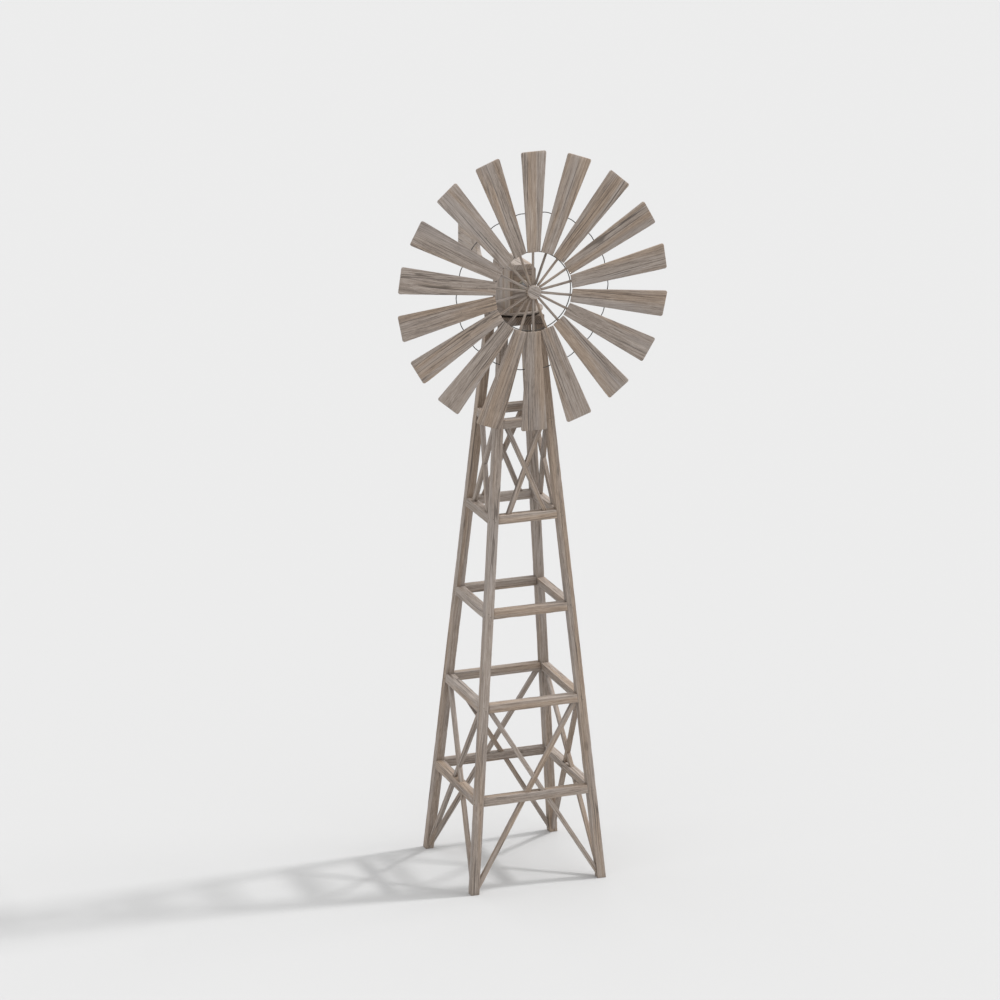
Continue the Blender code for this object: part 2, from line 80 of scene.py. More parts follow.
joints = {joint["name"]: joint for joint in frame["joints"]}
HUB = Vector(joints["rotor_spin"]["pos_m"])
TOWER = Vector((*Vector(joints["head_yaw"]["pos_m"]).xy, 0))

# Every length below is in metres

# Timber: which edges are rounded, where shading breaks, and how fast the surface waves run
# across, through and along a piece
ROUNDED_OVER = math.radians(20)
SHARP_OVER = math.radians(38)
WAVE_RATES = (55, 55, 14)

# Tower: painted shade, the leg tops just below the cap are darkened and warmed where the cap above
# shades them
PAINTED_SHADE_REACH = 0.045
PAINTED_SHADE_DEPTH = 0.75

# Head: the housing's boards
HOUSING_WALL = 0.012
HOUSING_ROOF = 0.0178
HOUSING_SPLIT = 0.036
SEAM = 0.0002

# Rotor
SPOKE_STEP = math.tau / BLADES
TENON_RADIUS = 0.002
TENON_END = 0.0230
TAPER_END = 0.0262
ROD_SIDES = 14
ROD_STEPS = 26
ROD_UNEVEN = 0.055
RING_FLAT = 0.0014
RING_KNEE = 0.0004
STAPLE_WIRE = 0.0006
STAPLE_DRIVEN = 0.001

# Fasteners
PIN_RADIUS = 0.0012
PIN_PLACES = (0.142, 0.195, 0.247)
RAIL_NAIL = 0.0016
RAIL_NAIL_OFFSET = 0.0055
BRACE_NAIL = 0.0017
RAY_START = 0.1

# Stage: the sky is brighter overhead than at the horizon
FLOOR_SIZE = 60
FLOOR_ALBEDO = 0.505
SKY_LOW = 0.70
SKY_HIGH = 1.20
BACKDROP = 0.838

# A small key and a broad one behind it stand for a soft box on the right
KEY_ELEVATION = math.radians(48)
KEY_LEVEL = Vector((0.99, -0.05, 0))
KEYS = (("key_small", 1.70, math.radians(5.0)), ("key_broad", 0.98, math.radians(32)))

# Camera
CAMERA_AZIMUTH = math.radians(-20.395)
CAMERA_ELEVATION = math.radians(17.102)
CAMERA_DISTANCE = 14.5286
CAMERA_LENS = 161.83
CAMERA_SENSOR = 36
CAMERA_REACH = 200
TARGET_HEIGHT = 1.25352
TARGET_LEFT = 0.04547


# Materials


class Graph:
    """Makes and links the nodes of one material."""

    def __init__(self, name):
        self.material = bpy.data.materials.new(name)
        self.material.use_nodes = True
        self.tree = self.material.node_tree
        self.shader = self.tree.nodes["Principled BSDF"]

    def put(self, socket, value):
        if isinstance(value, bpy.types.NodeSocket):
            self.tree.links.new(value, socket)
        elif socket.type == "RGBA" and len(value) == 3:
            socket.default_value = (*value, 1.0)
        else:
            socket.default_value = value

    def attribute(self, name, output="Fac"):
        node = self.tree.nodes.new("ShaderNodeAttribute")
        node.attribute_name = name
        return node.outputs[output]

    def math(self, operation, first, second=0.0):
        node = self.tree.nodes.new("ShaderNodeMath")
        node.operation = operation
        self.put(node.inputs[0], first)
        self.put(node.inputs[1], second)
        return node.outputs[0]

    def vector(self, operation, first, second):
        node = self.tree.nodes.new("ShaderNodeVectorMath")
        node.operation = operation
        self.put(node.inputs[0], first)
        self.put(node.inputs[1], second)
        return node.outputs[0]

    def dot(self, first, second):
        node = self.tree.nodes.new("ShaderNodeVectorMath")
        node.operation = "DOT_PRODUCT"
        self.put(node.inputs[0], first)
        self.put(node.inputs[1], second)
        return node.outputs["Value"]

    def noise(self, vector, scale, detail=2.0, roughness=0.5, output="Fac"):
        node = self.tree.nodes.new("ShaderNodeTexNoise")
        self.put(node.inputs["Vector"], vector)
        self.put(node.inputs["Scale"], scale)
        self.put(node.inputs["Detail"], detail)
        self.put(node.inputs["Roughness"], roughness)
        return node.outputs[output]

    def cells(self, vector, scale, output="Color"):
        node = self.tree.nodes.new("ShaderNodeTexVoronoi")
        self.put(node.inputs["Vector"], vector)
        self.put(node.inputs["Scale"], scale)
        return node.outputs[output]

    def spread(self, value, low, high, to_low=0.0, to_high=1.0):
        """A smooth step from one range to another."""
        node = self.tree.nodes.new("ShaderNodeMapRange")
        node.interpolation_type = "SMOOTHSTEP"
        for socket, number in zip(node.inputs, (value, low, high, to_low, to_high)):
            self.put(socket, number)
        return node.outputs[0]

    def ramp(self, value, stops):
        node = self.tree.nodes.new("ShaderNodeValToRGB")
        elements = node.color_ramp.elements
        while len(elements) < len(stops):
            elements.new(0.5)
        for element, (place, color) in zip(elements, stops):
            element.position = place
            element.color = (*color, 1.0)
        self.put(node.inputs[0], value)
        return node.outputs[0]

    def mix(self, share, first, second, blend="MIX"):
        node = self.tree.nodes.new("ShaderNodeMix")
        node.data_type = "RGBA"
        node.blend_type = blend
        self.put(node.inputs["Factor"], share)
        colors = [socket for socket in node.inputs if socket.type == "RGBA"]
        self.put(colors[0], first)
        self.put(colors[1], second)
        return next(socket for socket in node.outputs if socket.type == "RGBA")

    def bump(self, height, strength, distance):
        node = self.tree.nodes.new("ShaderNodeBump")
        node.inputs["Strength"].default_value = strength
        node.inputs["Distance"].default_value = distance
        self.put(node.inputs["Height"], height)
        return node.outputs[0]

    def finish(self, color, roughness, normal):
        self.put(self.shader.inputs["Base Color"], color)
        self.put(self.shader.inputs["Roughness"], roughness)
        self.put(self.shader.inputs["Normal"], normal)
        return self.material


def weighted_sum(graph, middle, parts):
    """middle + the sum of weight * (value - 0.5)."""
    total = middle
    for value, weight in parts:
        part = graph.math("MULTIPLY", graph.math("SUBTRACT", value, 0.5), weight)
        total = graph.math("ADD", total, part)
    return total


def along_grain(graph, vector, stretch):
    """Coordinates in which a pattern is drawn out along the grain. A smaller stretch is longer."""
    return graph.vector("MULTIPLY", vector, (1, 1, stretch))


def timber_material():
    """Grey-brown weathered timber, its grain along the third of each piece's own coordinates."""
    g = Graph("weathered_timber")
    grain = g.attribute("grain", "Vector")
    tone = g.attribute("tone")
    edge = g.attribute("edge")
    check = g.attribute("check")
    end = g.attribute("end")

    # The grain wanders a little sideways
    wander = g.noise(along_grain(g, grain, 0.3), 11.0, 2.0, output="Color")
    wander = g.vector("SUBTRACT", wander, (0.5, 0.5, 0.5))
    wander = g.vector("MULTIPLY", wander, (0.022, 0.022, 0.0))
    flow = g.vector("ADD", grain, wander)

    band = g.noise(along_grain(g, flow, 0.045), 48.0, 3.0, 0.55)
    vein = g.noise(along_grain(g, flow, 0.025), 150.0, 2.0, 0.5)
    streak = g.noise(along_grain(g, flow, 0.032), 340.0, 4.0, 0.68)
    fibre = g.noise(along_grain(g, flow, 0.05), 1000.0, 3.0, 0.7)
    cloud = g.noise(along_grain(g, grain, 0.22), 16.0, 3.0, 0.5)
    # Growth rings, bent by a slow noise so that they close and fork as in flat-sawn boards
    bend = g.noise(along_grain(g, flow, 0.09), 26.0, 2.0)
    phase = g.math("ADD", g.dot(flow, (820.0, 560.0, 0.0)), g.math("MULTIPLY", bend, 22.0))
    ring = g.math("ADD", g.math("MULTIPLY", g.math("SINE", phase), 0.5), 0.5)

    shade = weighted_sum(
        g,
        0.5,
        (
            (ring, 0.10),
            (band, 0.30),
            (vein, 0.45),
            (streak, 1.28),
            (fibre, 1.1),
            (cloud, 0.28),
            (tone, 0.45),
        ),
    )
    # Cut ends show pores and rings instead of streaks, on a slightly paler middle that is painted
    # light for the lit root ends of the blades
    pores = g.noise(grain, 1400.0, 3.0, 0.65)
    end_shade = weighted_sum(g, 0.53, ((ring, 0.34), (pores, 1.1), (cloud, 0.4), (tone, 0.45)))
    shade = g.math("ADD", shade, g.math("MULTIPLY", end, g.math("SUBTRACT", end_shade, shade)))
    color = g.ramp(
        shade,
        (
            (0.02, (0.080, 0.060, 0.047)),
            (0.25, (0.192, 0.153, 0.126)),
            (0.50, (0.304, 0.252, 0.213)),
            (0.75, (0.384, 0.328, 0.287)),
            (0.98, (0.476, 0.422, 0.382)),
        ),
    )
    # Warm patches where the grey skin has worn off, stronger with the warm attribute, which also
    # carries painted shade warmth on shaded pieces
    warm_place = g.noise(along_grain(g, flow, 0.05), 30.0, 2.0)
    warm_place = g.math("ADD", warm_place, g.math("MULTIPLY", g.attribute("warm"), 0.22))
    warm = g.spread(warm_place, 0.56, 0.76, 0.0, 0.9)
    color = g.mix(warm, color, (1.02, 0.925, 0.81), "MULTIPLY")
    # Silver patches
    silver_place = g.noise(along_grain(g, grain, 0.1), 24.0, 2.0)
    silver = g.spread(silver_place, 0.50, 0.70, 0.0, 0.35)
    color = g.mix(silver, color, (0.325, 0.297, 0.284))

    # A few small knots, each a dark soft-edged oval
    knot_place = along_grain(g, flow, 0.45)
    away = g.cells(knot_place, 15.0, "Distance")
    chosen = g.spread(g.dot(g.cells(knot_place, 15.0), (1.0, 0.0, 0.0)), 0.70, 0.74)
    knot = g.math("MULTIPLY", g.spread(away, 0.05, 0.16, 0.5, 0.0), chosen)
    color = g.mix(knot, color, (0.135, 0.100, 0.075))
    # Dark hairlines along the grain, in some stretches only
    line = g.noise(along_grain(g, flow, 0.012), 62.0, 1.0)
    line = g.math("ABSOLUTE", g.math("SUBTRACT", line, 0.5))
    line = g.spread(line, 0.006, 0.030, 1.0, 0.0)
    some = g.spread(g.noise(along_grain(g, grain, 0.25), 13.0, 1.0), 0.46, 0.60)
    hair = g.math("MULTIPLY", g.math("MULTIPLY", line, some), g.math("SUBTRACT", 1.0, end))
    color = g.mix(g.math("MULTIPLY", hair, 0.72), color, (0.085, 0.065, 0.050))
    # Painted shade: the bottoms of the drying cracks are darkened almost to black
    color = g.mix(g.math("MULTIPLY", check, 0.94), color, (0.055, 0.042, 0.034))
    # Edges are rubbed a little paler, unevenly
    rubbed = g.math("MULTIPLY", edge, g.spread(cloud, 0.40, 0.62, 0.0, 0.38))
    color = g.mix(rubbed, color, (0.40, 0.355, 0.31))

    height = weighted_sum(g, 0.5, ((streak, 1.2), (fibre, 0.9), (band, 0.5)))
    height = g.math("SUBTRACT", height, g.math("MULTIPLY", hair, 0.9))
    normal = g.bump(height, 0.55, 0.0009)
    roughness = weighted_sum(g, 0.60, ((streak, -0.35), (fibre, 0.30)))
    return g.finish(color, roughness, normal)


def steel_material(name, low, high, roughness, spangle):
    """Steel whose skin has crystals of slightly different brightness and a dull bloom."""
    g = Graph(name)
    place = g.attribute("grain", "Vector")
    crystals = g.cells(place, spangle)
    bloom = g.noise(place, spangle * 0.35, 4.0, 0.6)
    fine = g.noise(place, spangle * 6.0, 3.0, 0.6)
    shade = weighted_sum(g, 0.5, ((crystals, 0.45), (bloom, 1.1), (fine, 0.4)))
    color = g.ramp(shade, ((0.1, low), (0.9, high)))
    rough = weighted_sum(g, roughness, ((bloom, 0.5), (fine, 0.25)))
    g.shader.inputs["Metallic"].default_value = 1.0
    return g.finish(color, rough, g.bump(fine, 0.25, 0.0002))


def bronze_material():
    """Cast and turned bronze, browned by weather, with fine turning marks round the Y axis."""
    g = Graph("weathered_bronze")
    place = g.attribute("grain", "Vector")
    patina = g.noise(place, 160.0, 4.0, 0.6)
    marks = g.noise(g.vector("MULTIPLY", place, (0.15, 1.0, 0.15)), 1500.0, 2.0)
    shade = weighted_sum(g, 0.5, ((patina, 1.3), (marks, 0.5)))
    color = g.ramp(
        shade,
        (
            (0.15, (0.27, 0.23, 0.18)),
            (0.55, (0.47, 0.42, 0.34)),
            (0.90, (0.66, 0.61, 0.52)),
        ),
    )
    rough = weighted_sum(g, 0.48, ((patina, 0.6), (marks, 0.2)))
    g.shader.inputs["Metallic"].default_value = 1.0
    return g.finish(color, rough, g.bump(marks, 0.3, 0.0002))


timber = timber_material()
# Each steel: darkest and brightest colour, roughness, crystals per metre
galvanised = steel_material(
    "galvanised_steel", (0.36, 0.37, 0.38), (0.60, 0.61, 0.62), 0.42, 220.0
)
wire_steel = steel_material(
    "dark_wire", (0.045, 0.044, 0.042), (0.125, 0.122, 0.118), 0.34, 420.0
)
ring_steel = steel_material(
    "ring_wire", (0.066, 0.061, 0.055), (0.170, 0.160, 0.148), 0.45, 420.0
)
nail_steel = steel_material("aged_nails", (0.13, 0.11, 0.09), (0.27, 0.235, 0.20), 0.60, 900.0)
bronze = bronze_material()


# Mesh work


def mean(vectors):
    vectors = list(vectors)
    return sum(vectors, Vector((0, 0, 0))) / len(vectors)


def cad_copy(node):
    """A closed, welded copy of a CAD node with its flat faces whole."""
    bm = bmesh.new()
    bm.from_mesh(frame["nodes"][node].data)
    bmesh.ops.remove_doubles(bm, verts=bm.verts, dist=2e-6)
    bmesh.ops.dissolve_limit(bm, angle_limit=math.radians(0.5), verts=bm.verts, edges=bm.edges)
    return bm


def slice_at(bm, point, normal, drop=False):
    """Cut the mesh with a plane, and if asked drop what the normal points to."""
    everything = bm.verts[:] + bm.edges[:] + bm.faces[:]
    bmesh.ops.bisect_plane(bm, geom=everything, plane_co=point, plane_no=normal, clear_outer=drop)


def keep_below(bm, point, normal):
    """Cut the solid with a plane, drop what the normal points to, and close the cut."""
    slice_at(bm, point, normal, drop=True)
    rim = [e for e in bm.edges if len(e.link_faces) == 1]
    bmesh.ops.holes_fill(bm, edges=rim, sides=0)


def piece_axes(bm, along):
    """Width, thickness and grain axes of a board, from its broadest face and its grain."""
    along = along.normalized()
    face = max(bm.faces, key=lambda f: f.calc_area() * (1 - abs(f.normal.dot(along))))
    thick = (face.normal - along * face.normal.dot(along)).normalized()
    return thick.cross(along).normalized(), thick, along


def bridge(bm, row, following):
    """The walls between two rings of points."""
    count = len(row)
    for k in range(count):
        after = (k + 1) % count
        bm.faces.new((row[k], row[after], following[after], following[k]))


def bridge_all(bm, rows):
    for row, following in zip(rows, rows[1:]):
        bridge(bm, row, following)


def around(sides):
    """The angles of a ring's points, in order."""
    return [math.tau * k / sides for k in range(sides)]


def shown(name, bm, body, material, nodes=()):
    mesh = bpy.data.meshes.new(name)
    bm.to_mesh(mesh)
    bm.free()
    mesh.shade_smooth()
    mesh.set_sharp_from_angle(angle=SHARP_OVER)
    mesh.materials.append(material)
    obj = bpy.data.objects.new(name, mesh)
    bpy.context.scene.collection.objects.link(obj)
    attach(obj, body)
    if nodes:
        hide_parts(*nodes)
    return obj


def put_grain(bm, origin, axes, tone, warm=0.5):
    """Store each point's place in the piece's own axes, shifted so that no two look the same."""
    grain = bm.verts.layers.float_vector.new("grain")
    level = bm.verts.layers.float.new("tone")
    # The warm attribute holds worn-off warmth and, on shaded pieces, painted shade warmth
    warmth_from_wear_and_shade = bm.verts.layers.float.new("warm")
    end = bm.verts.layers.float.new("end")
    bm.normal_update()
    shift = Vector([rng.uniform(-6, 6) for _ in range(3)])
    for vert in bm.verts:
        offset = vert.co - origin
        vert[grain] = Vector([offset.dot(axis) for axis in axes]) + shift
        vert[level] = tone
        vert[warmth_from_wear_and_shade] = warm
        vert[end] = min(max((abs(vert.normal.dot(axes[2])) - 0.6) / 0.3, 0.0), 1.0)


def soften(bm, width):
    """Round every edge that turns more than a few degrees."""
    edges = [
        e for e in bm.edges if len(e.link_faces) == 2 and e.calc_face_angle(0) > ROUNDED_OVER
    ]
    made = bmesh.ops.bevel(
        bm,
        geom=edges,
        offset=width,
        segments=2,
        profile=0.5,
        affect="EDGES",
        clamp_overlap=True,
    )
    return made["faces"]


def span(bm, axis, origin):
    values = [(v.co - origin).dot(axis) for v in bm.verts]
    return min(values), max(values)


def carve_checks(bm, origin, axes, checks):
    """Open shallow drying cracks. Each check is (face sign, across, start, end, depth)."""
    wide, thick, along = axes
    layer = bm.verts.layers.float["check"]
    for sign, across, start, end, depth in checks:
        for vert in bm.verts:
            offset = vert.co - origin
            if abs(offset.dot(wide) - across) > 1e-5 or vert.normal.dot(thick) * sign < 0.6:
                continue
            place = (offset.dot(along) - start) / (end - start)
            if 0 < place < 1:
                open_share = min(1.0, 6 * place, 6 * (1 - place))
                rough = noise.noise(Vector((across * 90, place * 7, depth * 900)))
                open_share *= 0.85 + 0.6 * rough
                open_share = min(max(open_share, 0.0), 1.0)
                vert.co -= thick * (sign * depth * open_share)
                vert[layer] = open_share


def wear(bm, origin, axes, amount, chip):
    """Uneven surface: slow waves along the grain, and small losses at the edges."""
    edge = bm.verts.layers.float["edge"]
    seed = Vector([rng.uniform(-50, 50) for _ in range(3)])
    bm.normal_update()
    moves = []
    for vert in bm.verts:
        offset = vert.co - origin
        place = Vector([offset.dot(axis) * rate for axis, rate in zip(axes, WAVE_RATES)]) + seed
        wave = 0.5 + 0.5 * noise.noise(place)
        depth = amount * wave
        if vert[edge] > 0.5:
            loss = noise.noise(place * 2.3 + seed)
            depth += chip * max(0.0, loss - 0.1) * 1.6
        moves.append((vert, vert.normal * depth))
    for vert, move in moves:
        vert.co -= move


def paint_shade_under_roof(bm, roof):
    """Painted shade: wood just under a roof is darkened and warmed, standing in for the roof's
    shade.
    """
    level = bm.verts.layers.float["tone"]
    warmth_from_wear_and_shade = bm.verts.layers.float["warm"]
    for vert in bm.verts:
        share = (vert.co.z - roof + PAINTED_SHADE_REACH) / (PAINTED_SHADE_REACH * 0.6)
        share = min(max(share, 0.0), 1.0)
        vert[level] -= PAINTED_SHADE_DEPTH * share
        vert[warmth_from_wear_and_shade] += (1.0 - vert[warmth_from_wear_and_shade]) * share


def check_plan(count, wide_half, low, high, depth):
    """Random drying cracks for the two broad faces of a member."""
    plan = []
    for sign in (1, -1):
        for _ in range(count):
            length = (high - low) * rng.uniform(0.35, 0.95)
            start = rng.uniform(low - 0.1 * length, high - 0.9 * length)
            across = rng.uniform(-0.72, 0.72) * wide_half
            plan.append((sign, across, start, start + length, depth * rng.uniform(0.6, 1.0)))
    return plan


def finish_timber(name, bm, body, along, nodes=(), **look):
    """Turn a plain closed solid into a worn timber piece and show it."""
    rounding = look.get("rounding", 0.0012)
    pitch = look.get("pitch", 0.014)
    checks = look.get("checks", 1)
    groove = look.get("groove", 0.0011)
    depth = look.get("depth", 0.0011)
    amount = look.get("amount", 0.0003)
    chip = look.get("chip", 0.0009)
    margin = look.get("margin", 0.0035)
    origin = mean(v.co for v in bm.verts)
    axes = piece_axes(bm, along)
    edge = bm.verts.layers.float.new("edge")
    bm.verts.layers.float.new("check")
    for face in soften(bm, rounding):
        for vert in face.verts:
            vert[edge] = 1.0
    for axis in axes[:2]:
        low, high = span(bm, axis, origin)
        if high - low > 3 * margin:
            for place in (low + margin, high - margin):
                slice_at(bm, origin + axis * place, axis)
            if high - low > 4 * margin:
                middle = (low + high) / 2
                slice_at(bm, origin + axis * middle, axis)
    # Points away from the edges carry no edge wear
    spans = [span(bm, axis, origin) for axis in axes[:2]]
    for vert in bm.verts:
        offset = vert.co - origin
        inside = [
            low + margin - 1e-5 <= offset.dot(axis) <= high - margin + 1e-5
            for axis, (low, high) in zip(axes[:2], spans)
        ]
        if any(inside):
            vert[edge] = 0.0
    low, high = span(bm, axes[2], origin)
    wide_low, wide_high = spans[0]
    plan = check_plan(checks, (wide_high - wide_low) / 2 - 2 * margin, low, high, depth)
    for _, across, _, _, _ in plan:
        for place in (across - groove, across, across + groove):
            slice_at(bm, origin + axes[0] * place, axes[0])
    steps = max(2, round((high - low) / pitch))
    for step in range(1, steps):
        slice_at(bm, origin + axes[2] * (low + (high - low) * step / steps), axes[2])
    bmesh.ops.remove_doubles(bm, verts=bm.verts, dist=1e-5)
    bm.normal_update()
    tone = look.get("tone", rng.uniform(0.34, 0.66))
    put_grain(bm, origin, axes, tone, look.get("warm", rng.uniform(0.1, 0.9)))
    # Painted shade under a roof, for pieces that carry the roof's height
    if "painted_shade_below" in look:
        paint_shade_under_roof(bm, look["painted_shade_below"])
    wear(bm, origin, axes, amount, chip)
    carve_checks(bm, origin, axes, plan)
    return shown(name, bm, body, timber, nodes)


def cad_timber(node, body, along, **look):
    return finish_timber(f"{node}_timber", cad_copy(node), body, along, (node,), **look)


# Tower


def leg_axis(bm):
    low = min(v.co.z for v in bm.verts)
    high = max(v.co.z for v in bm.verts)
    foot = mean(v.co for v in bm.verts if v.co.z < low + 1e-4)
    head = mean(v.co for v in bm.verts if v.co.z > high - 1e-4)
    return head - foot


def bar_solids(node, outward):
    """Split a crossed pair into its two half-lapped bars. Returns (solid, direction) pairs."""
    bm = cad_copy(node)
    faces = sorted(bm.faces, key=lambda face: -face.calc_area())[:2]
    front = max(faces, key=lambda face: face.calc_center_median().dot(outward))
    loop = list(front.verts)
    partner = {}
    for vert in loop:
        rear = [e.other_vert(vert) for e in vert.link_edges if front not in e.link_faces]
        partner[vert] = rear[0].co.copy()
    count = len(loop)
    normal = front.normal
    inner = []
    for i, vert in enumerate(loop):
        before = vert.co - loop[i - 1].co
        after = loop[(i + 1) % count].co - vert.co
        if before.cross(after).dot(normal) < -1e-9:
            inner.append(i)
    chains = []
    for k, i in enumerate(inner):
        j = inner[(k + 1) % 4]
        chain = []
        step = (i + 1) % count
        while step != j:
            chain.append(loop[step])
            step = (step + 1) % count
        chains.append(chain)
    corners = [loop[i] for i in inner]
    solids = []
    for first in (0, 1):
        a, b, c, d = [corners[(first + k) % 4] for k in range(4)]
        head, foot = chains[first], chains[(first + 2) % 4]
        solids.append(lapped_bar((a, head, b), (c, foot, d), partner, lapped_in_front=first == 1))
    bm.free()
    return solids


def lapped_bar(head_arm, foot_arm, partner, lapped_in_front):
    """A bar whose middle keeps only the rear or the front half of its depth."""
    bm = bmesh.new()
    (a, head, b), (c, foot, d) = head_arm, foot_arm
    slack = 0.0001

    def put(vert, share):
        near, far = vert.co, partner[vert]
        return bm.verts.new(near.lerp(far, share))

    full = {v: put(v, 1.0 if lapped_in_front else 0.0) for v in (a, *head, b, c, *foot, d)}
    cutaway = {v: put(v, 0.0 if lapped_in_front else 1.0) for v in (a, *head, b, c, *foot, d)}
    depth = (a.co - partner[a]).length
    half = 0.5 + slack / depth * (1 if lapped_in_front else -1)
    middle = {v: put(v, half) for v in (a, b, c, d)}

    def arm(start, chain, end):
        ring = [start, *chain, end]
        for i in range(len(ring) - 1):
            p, q = ring[i], ring[i + 1]
            wall = [full[p], full[q]]
            if q in middle:
                wall.append(middle[q])
            wall += [cutaway[q], cutaway[p]]
            if p in middle:
                wall.append(middle[p])
            bm.faces.new(wall)
        bm.faces.new([cutaway[v] for v in ring])
        bm.faces.new((cutaway[start], cutaway[end], middle[end], middle[start]))

    arm(a, head, b)
    arm(c, foot, d)
    bm.faces.new((full[b], full[c], middle[c], middle[b]))
    bm.faces.new((full[d], full[a], middle[a], middle[d]))
    bm.faces.new([middle[v] for v in (a, b, c, d)])
    bm.faces.new([full[v] for v in (a, *head, b, c, *foot, d)])
    bmesh.ops.recalc_face_normals(bm, faces=bm.faces)
    return bm, mean(v.co for v in head) - mean(v.co for v in foot)


def build_tower():
    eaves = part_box("tower_cap")[0].z
    for corner in CORNERS:
        node = f"leg_{corner}"
        bm = cad_copy(node)
        # The legs' tops get painted shade under the cap
        look = {"pitch": 0.016, "checks": 2, "tone": 0.5, "painted_shade_below": eaves}
        finish_timber(f"{node}_timber", bm, "tower", leg_axis(bm), (node,), **look)
    for level in RAIL_LEVELS:
        for side, outward in SIDES.items():
            cad_timber(f"rail_{level}_{side}", "tower", UP.cross(outward), pitch=0.012)
    brace_look = {
        "rounding": 0.0009,
        "groove": 0.0008,
        "depth": 0.0007,
        "margin": 0.0022,
        "amount": 0.0002,
        "chip": 0.0006,
    }
    for place in ("lower", "upper"):
        for side, outward in SIDES.items():
            node = f"cross_{place}_{side}"
            for name, (bm, along) in zip(("rising", "falling"), bar_solids(node, outward)):
                finish_timber(f"{node}_{name}", bm, "tower", along, (node,), **brace_look)
    # Painted shade: the cap's low tone and full warmth stand in for the rotor's shade on it
    cad_timber("tower_cap", "tower", BACK, checks=2, tone=-0.25, warm=1.0)
    build_tower_nails()


# Head


def housing_part(*planes):
    bm = cad_copy("head_housing")
    for point, normal in planes:
        keep_below(bm, point, normal)
    bm.normal_update()
    return bm


def build_head():
    low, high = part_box("head_housing")
    roof = high.z - HOUSING_ROOF
    under = roof - 2 * SEAM
    split = high.z - HOUSING_SPLIT
    left = Vector((low.x + HOUSING_WALL + SEAM, 0, 0))
    right = Vector((high.x - HOUSING_WALL - SEAM, 0, 0))
    middle = Vector((0, (low.y + high.y) / 2, 0))
    below_roof = (Vector((0, 0, under)), UP)
    between = ((left + ACROSS * 2 * SEAM, -ACROSS), (right - ACROSS * 2 * SEAM, ACROSS))
    front = (*between, below_roof, (middle, BACK))
    back = (*between, below_roof, (middle, -BACK))
    upper = (Vector((0, 0, split + SEAM)), -UP)
    lower = (Vector((0, 0, split - SEAM)), UP)
    # Each board: name, the planes that cut it out, its grain, tone and warmth
    boards = (
        # The roof's high tone is painted light, for its top lit from above
        ("roof", ((Vector((0, 0, roof)), -UP),), BACK, 0.85, 0.3),
        ("side_left", (below_roof, (left, ACROSS)), UP, 0.36, 0.8),
        ("side_right", (below_roof, (right, -ACROSS)), UP, 0.5, 1.0),
        # Painted shade: the front boards' full warmth, and the upper board's low tone, stand in
        # for the rotor's shade on the housing's front
        ("front_upper", (*front, upper), ACROSS, 0.10, 1.0),
        ("front_lower", (*front, lower), ACROSS, 0.42, 1.0),
        ("back_upper", (*back, upper), ACROSS, 0.42, 1.0),
        ("back_lower", (*back, lower), ACROSS, 0.5, 1.0),
    )
    for name, planes, along, tone, warm in boards:
        look = {"rounding": 0.0009, "pitch": 0.010, "tone": tone, "warm": warm}
        board = housing_part(*planes)
        finish_timber(f"housing_{name}", board, "head", along, ("head_housing",), **look)
    plate_look = {"checks": 0, "rounding": 0.0004, "amount": 0.0001, "chip": 0.0003}
    cad_timber("turntable_plate", "head", ACROSS, **plate_look)
    cad_timber("tail_boom", "head", BACK, checks=1)
    cad_timber("tail_vane", "head", BACK, checks=3, pitch=0.010, tone=0.75)


# Rotor


def rotor_point(radius, angle, y):
    return Vector((HUB.x + radius * math.sin(angle), y, HUB.z + radius * math.cos(angle)))


def outward_at(angle):
    return rotor_point(1, angle, 0) - rotor_point(0, angle, 0)


def spoke_angles(rotor):
    return [rotor["turn"] + math.tau * index / BLADES for index in range(BLADES)]


def middle_and_half(values):
    """The middle of a range of values and half its length."""
    values = list(values)
    low, high = min(values), max(values)
    return (low + high) / 2, (high - low) / 2


def read_rotor():
    """The spokes' and rings' real sizes, read from the CAD frame that they replace."""
    polar = []
    for vert in frame["nodes"]["spoke_frame"].data.vertices:
        x, z = vert.co.x - HUB.x, vert.co.z - HUB.z
        polar.append((math.hypot(x, z), math.atan2(x, z), vert.co.y))
    reach = max(r for r, _, _ in polar)
    tips = [(r, a, y) for r, a, y in polar if r > reach - 0.0008]
    plane, rod = middle_and_half(y for _, _, y in tips)
    turn, _ = middle_and_half(a for _, a, _ in tips if abs(a) < SPOKE_STEP / 4)

    # Halfway between two spokes there is nothing but the two rings
    def between_spokes(angle):
        return abs((angle - turn) % SPOKE_STEP - SPOKE_STEP / 2) < math.radians(1)

    gaps = [(r, y) for r, a, y in polar if r > reach / 3 and between_spokes(a)]
    halfway, _ = middle_and_half(r for r, _ in gaps)
    rings = []
    for group in ([g for g in gaps if g[0] < halfway], [g for g in gaps if g[0] > halfway]):
        radius, _ = middle_and_half(r for r, _ in group)
        rings.append((radius, *middle_and_half(y for _, y in group)))
    start = min(r for r, _, _ in polar)
    return {
        "plane": plane,
        "rod": rod,
        "turn": turn,
        "reach": reach,
        "rings": rings,
        "start": start,
    }


def rod_profile(rotor):
    """Distance from the hub's middle and radius, from the thin tenon to the rounded tip."""
    start, end, rod = rotor["start"], rotor["reach"], rotor["rod"]
    straight_end = end - 0.0012
    places = [
        (start, TENON_RADIUS * 0.8),
        (start + 0.0006, TENON_RADIUS),
        (TENON_END, TENON_RADIUS),
        (TAPER_END, rod),
    ]
    for step in range(1, ROD_STEPS):
        places.append((TAPER_END + (straight_end - TAPER_END) * step / ROD_STEPS, rod))
    return places + [(straight_end, rod), (end - 0.0003, rod * 0.86), (end, rod * 0.6)]


